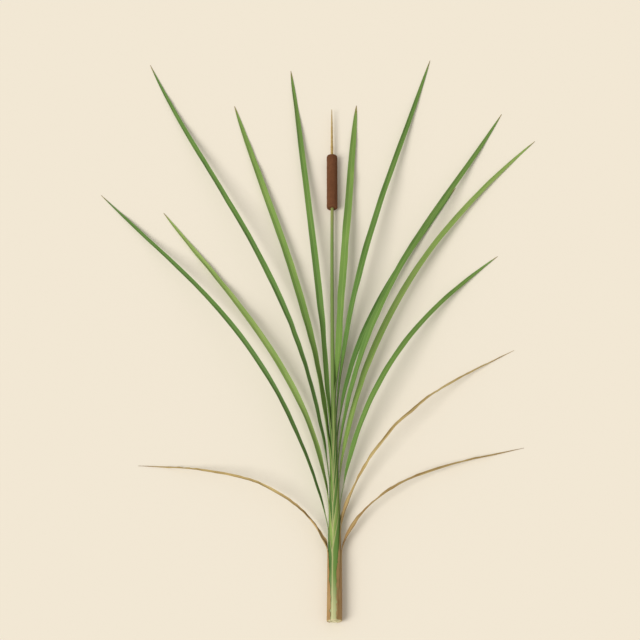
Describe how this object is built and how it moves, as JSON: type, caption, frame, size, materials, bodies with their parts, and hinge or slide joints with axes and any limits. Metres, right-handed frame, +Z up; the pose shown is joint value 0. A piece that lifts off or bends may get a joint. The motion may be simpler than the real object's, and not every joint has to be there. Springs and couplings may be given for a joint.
{
  "type": "cattail stalk",
  "caption": "Cattail stalk cut at the ground and lying down: a round stem with a brown seed head and a thin spire, wrapped at its foot by long green strap leaves and dried outer ones.",
  "frame": {"origin": "middle of the footprint, on the surface the stalk lies on", "axes": "+Y along the stalk from the cut end to the tip, +Z up from the surface, +X to the right seen from the cut end"},
  "size_m": [1.2498, 1.7062, 0.0879],
  "materials": {
    "leaf": "satin green leaf",
    "dry_leaf": "dull dried leaf",
    "stem": "satin green stem",
    "seed_head": "velvety brown",
    "spire": "dull straw"
  },
  "bodies": {
    "root": {"stem": "stem", "seed_head": "seed_head", "spire": "spire", "leaf_right_1": "leaf", "leaf_right_2": "leaf", "leaf_right_3": "leaf", "leaf_right_4": "leaf", "leaf_right_5": "leaf", "leaf_right_6": "leaf", "leaf_left_1": "leaf", "leaf_left_2": "leaf", "leaf_left_3": "leaf", "leaf_left_4": "leaf", "leaf_left_5": "leaf", "dry_leaf_right_1": "dry_leaf", "dry_leaf_right_2": "dry_leaf", "dry_leaf_left_1": "dry_leaf"}
  },
  "joints": []
}
